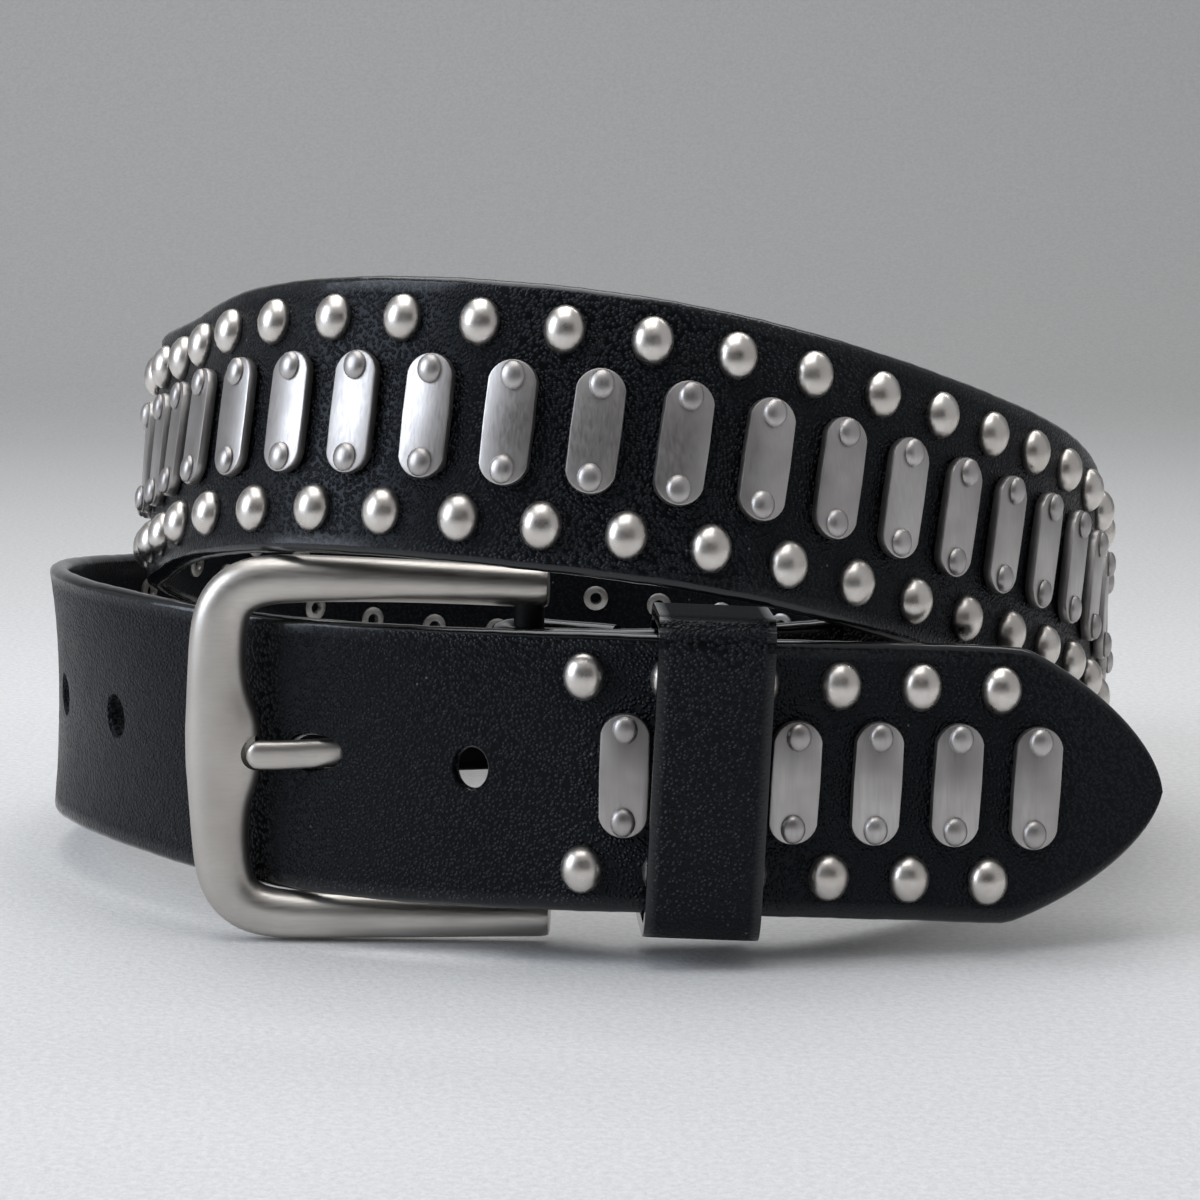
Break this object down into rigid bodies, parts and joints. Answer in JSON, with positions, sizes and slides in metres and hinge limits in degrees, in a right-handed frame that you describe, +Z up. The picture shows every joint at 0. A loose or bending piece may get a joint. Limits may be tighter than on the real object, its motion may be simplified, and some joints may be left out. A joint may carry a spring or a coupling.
{
  "type": "studded belt",
  "caption": "Leather belt with rows of dome studs and upright metal plates, fastened by a prong buckle and keeper and coiled in two turns on its edge.",
  "frame": {"origin": "the middle of the coil's bounding box, on the surface it stands on", "axes": "+Z up across the strap's width, -Y towards the buckle at the front, +X towards the strap's free end"},
  "size_m": [0.1716, 0.1682, 0.0972],
  "materials": {
    "black_leather": "fine pebbled grain with a slight sheen",
    "satin_nickel": "brushed, slightly aged nickel plating"
  },
  "bodies": {
    "root": {"strap": "black_leather", "buckle_frame": "satin_nickel", "prong": "satin_nickel", "keeper": "black_leather", "fold_rivet": "satin_nickel", "plate_01": "satin_nickel", "plate_02": "satin_nickel", "plate_03": "satin_nickel", "plate_04": "satin_nickel", "plate_05": "satin_nickel", "plate_06": "satin_nickel", "plate_07": "satin_nickel", "plate_08": "satin_nickel", "plate_09": "satin_nickel", "plate_10": "satin_nickel", "plate_11": "satin_nickel", "plate_12": "satin_nickel", "plate_13": "satin_nickel", "plate_14": "satin_nickel", "plate_15": "satin_nickel", "plate_16": "satin_nickel", "plate_17": "satin_nickel", "plate_18": "satin_nickel", "plate_19": "satin_nickel", "plate_20": "satin_nickel", "plate_21": "satin_nickel", "plate_22": "satin_nickel", "plate_23": "satin_nickel", "plate_24": "satin_nickel", "plate_25": "satin_nickel", "plate_26": "satin_nickel", "plate_27": "satin_nickel", "plate_28": "satin_nickel", "plate_29": "satin_nickel", "plate_30": "satin_nickel", "plate_31": "satin_nickel", "plate_32": "satin_nickel", "plate_33": "satin_nickel", "plate_34": "satin_nickel", "plate_35": "satin_nickel", "plate_36": "satin_nickel", "plate_37": "satin_nickel", "plate_38": "satin_nickel", "plate_39": "satin_nickel", "plate_40": "satin_nickel"}
  },
  "joints": []
}
